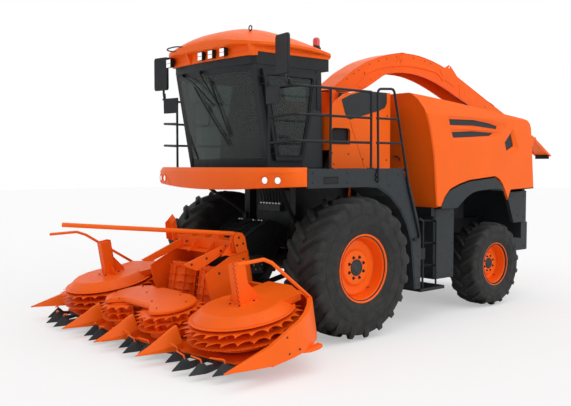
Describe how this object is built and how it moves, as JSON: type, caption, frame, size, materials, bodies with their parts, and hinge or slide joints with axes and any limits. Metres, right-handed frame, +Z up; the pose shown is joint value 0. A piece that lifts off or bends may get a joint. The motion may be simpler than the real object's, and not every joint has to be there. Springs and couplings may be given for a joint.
{
  "type": "self-propelled forage harvester",
  "caption": "Wheeled forage harvester with a rotary row-independent header, a glazed cab, a lifting feeder and a turning discharge spout.",
  "frame": {"origin": "on the ground below the middle of the bounding box", "axes": "+Z up, the machine faces -Y, its left side is +X"},
  "size_m": [4.71, 10.0636, 4.06],
  "materials": {
    "paint_orange": "gloss orange paint",
    "paint_grey": "satin dark grey paint",
    "frame_black": "satin black paint",
    "tyre_rubber": "matte rubber",
    "cab_glass": "tinted glass",
    "cylinder_rod": "polished chrome",
    "seat_cloth": "woven cloth"
  },
  "bodies": {
    "machine": {"main_frame": "frame_black", "front_axle": "frame_black", "rear_axle": "frame_black", "engine_block": "frame_black", "chopper_housing": "frame_black", "hood": "paint_orange", "service_housing": "paint_orange", "front_beam": "paint_orange", "platform": "paint_grey", "side_tank_l": "paint_grey", "side_tank_r": "paint_grey", "rear_frame": "paint_grey", "cab_frame": "frame_black", "cab_roof": "paint_orange", "windscreen": "cab_glass", "side_glass": "cab_glass", "rear_glass": "cab_glass", "seat": "seat_cloth", "steering_column": "frame_black", "handrail_l": "frame_black", "handrail_r": "frame_black", "ladder_rail": "frame_black", "boarding_ladder": "frame_black"},
    "wheel_front_l": {"tyre_front_l": "tyre_rubber", "rim_front_l": "paint_orange"},
    "wheel_front_r": {"tyre_front_r": "tyre_rubber", "rim_front_r": "paint_orange"},
    "knuckle_l": {"knuckle_l": "frame_black"},
    "knuckle_r": {"knuckle_r": "frame_black"},
    "wheel_rear_l": {"tyre_rear_l": "tyre_rubber", "rim_rear_l": "paint_orange"},
    "wheel_rear_r": {"tyre_rear_r": "tyre_rubber", "rim_rear_r": "paint_orange"},
    "door": {"cab_door": "frame_black", "door_glass": "cab_glass"},
    "turret": {"turret": "paint_orange"},
    "spout": {"spout": "paint_orange"},
    "spout_flap": {"spout_flap": "paint_orange"},
    "header": {"feeder_housing": "frame_black", "header_frame": "paint_orange", "drum_cover_l": "paint_orange", "drum_cover_r": "paint_orange", "centre_cover": "paint_orange", "crop_lifters": "paint_grey", "crop_bar": "paint_orange"},
    "outer_rotor_l": {"outer_rotor_l": "paint_orange"},
    "outer_rotor_r": {"outer_rotor_r": "paint_orange"},
    "inner_rotor_l": {"inner_rotor_l": "paint_orange"},
    "inner_rotor_r": {"inner_rotor_r": "paint_orange"},
    "feed_drum_l": {"feed_drum_l": "paint_orange"},
    "feed_drum_r": {"feed_drum_r": "paint_orange"},
    "lift_barrel_l": {"lift_barrel_l": "frame_black"},
    "lift_barrel_r": {"lift_barrel_r": "frame_black"},
    "lift_rod_l": {"lift_rod_l": "cylinder_rod"},
    "lift_rod_r": {"lift_rod_r": "cylinder_rod"}
  },
  "joints": [
    {"name": "front_wheel_l", "type": "hinge", "parent": "machine", "child": "wheel_front_l", "pos_m": [1.35, -2.073, 0.925], "axis": [1, 0, 0], "continuous": true},
    {"name": "steer_l", "type": "hinge", "parent": "machine", "child": "knuckle_l", "pos_m": [0.86, 1.297, 0.67], "axis": [0, 0, 1], "range_deg": [-30, 30]},
    {"name": "rear_wheel_l", "type": "hinge", "parent": "knuckle_l", "child": "wheel_rear_l", "pos_m": [1.13, 1.297, 0.67], "axis": [1, 0, 0], "continuous": true},
    {"name": "front_wheel_r", "type": "hinge", "parent": "machine", "child": "wheel_front_r", "pos_m": [-1.35, -2.073, 0.925], "axis": [1, 0, 0], "continuous": true},
    {"name": "steer_r", "type": "hinge", "parent": "machine", "child": "knuckle_r", "pos_m": [-0.86, 1.297, 0.67], "axis": [0, 0, 1], "range_deg": [-30, 30]},
    {"name": "rear_wheel_r", "type": "hinge", "parent": "knuckle_r", "child": "wheel_rear_r", "pos_m": [-1.13, 1.297, 0.67], "axis": [1, 0, 0], "continuous": true},
    {"name": "door", "type": "hinge", "parent": "machine", "child": "door", "pos_m": [0.94, -2.94864, 2.305], "axis": [0, 0.1892, -0.9819], "range_deg": [0, 32]},
    {"name": "spout_turn", "type": "hinge", "parent": "machine", "child": "turret", "pos_m": [0, -1.023, 2.94], "axis": [0, 0, 1], "range_deg": [-100, 100]},
    {"name": "spout_lift", "type": "hinge", "parent": "turret", "child": "spout", "pos_m": [0, -1.273, 3.375], "axis": [1, 0, 0], "range_deg": [0, 30]},
    {"name": "spout_flap", "type": "hinge", "parent": "spout", "child": "spout_flap", "pos_m": [0, 4.402, 2.775], "axis": [-1, 0, 0], "range_deg": [0, 50]},
    {"name": "feeder_lift", "type": "hinge", "parent": "machine", "child": "header", "pos_m": [0, -2.433, 1.3], "axis": [-1, 0, 0], "range_deg": [0, 20]},
    {"name": "outer_rotor_l", "type": "hinge", "parent": "header", "child": "outer_rotor_l", "pos_m": [1.55, -3.923, 0.226], "axis": [0, -0.1736, 0.9848], "continuous": true},
    {"name": "outer_rotor_r", "type": "hinge", "parent": "header", "child": "outer_rotor_r", "pos_m": [-1.55, -3.923, 0.226], "axis": [0, -0.1736, 0.9848], "continuous": true},
    {"name": "inner_rotor_l", "type": "hinge", "parent": "header", "child": "inner_rotor_l", "pos_m": [0.45, -4.17905, 0.18085], "axis": [0, -0.1736, 0.9848], "continuous": true},
    {"name": "inner_rotor_r", "type": "hinge", "parent": "header", "child": "inner_rotor_r", "pos_m": [-0.45, -4.17905, 0.18085], "axis": [0, -0.1736, 0.9848], "continuous": true},
    {"name": "feed_drum_l", "type": "hinge", "parent": "header", "child": "feed_drum_l", "pos_m": [0.34, -3.52037, 0.41885], "axis": [0, 0.1392, 0.9903], "continuous": true},
    {"name": "feed_drum_r", "type": "hinge", "parent": "header", "child": "feed_drum_r", "pos_m": [-0.34, -3.52037, 0.41885], "axis": [0, 0.1392, 0.9903], "continuous": true},
    {"name": "lift_barrel_l", "type": "hinge", "parent": "machine", "child": "lift_barrel_l", "pos_m": [0.43, -2.273, 0.76], "axis": [-1, 0, 0], "range_deg": [0, 17.5]},
    {"name": "lift_barrel_r", "type": "hinge", "parent": "machine", "child": "lift_barrel_r", "pos_m": [-0.43, -2.273, 0.76], "axis": [-1, 0, 0], "range_deg": [0, 17.5]},
    {"name": "lift_rod_l", "type": "slide", "parent": "lift_barrel_l", "child": "lift_rod_l", "axis": [0, -0.9806, -0.1961], "range_m": [0, 0.195]},
    {"name": "lift_rod_r", "type": "slide", "parent": "lift_barrel_r", "child": "lift_rod_r", "axis": [0, -0.9806, -0.1961], "range_m": [0, 0.195]}
  ],
  "couplings": [
    {"joint": "steer_r", "follows": "steer_l", "ratio": 1},
    {"joint": "outer_rotor_r", "follows": "outer_rotor_l", "ratio": -1},
    {"joint": "inner_rotor_l", "follows": "outer_rotor_l", "ratio": -1.6},
    {"joint": "inner_rotor_r", "follows": "outer_rotor_l", "ratio": 1.6},
    {"joint": "feed_drum_l", "follows": "outer_rotor_l", "ratio": -2},
    {"joint": "feed_drum_r", "follows": "outer_rotor_l", "ratio": 2},
    {"joint": "lift_barrel_l", "follows": "feeder_lift", "ratio": 0.85},
    {"joint": "lift_rod_l", "follows": "feeder_lift", "m_per_rad": 0.5482},
    {"joint": "lift_barrel_r", "follows": "feeder_lift", "ratio": 0.85},
    {"joint": "lift_rod_r", "follows": "feeder_lift", "m_per_rad": 0.5482}
  ]
}
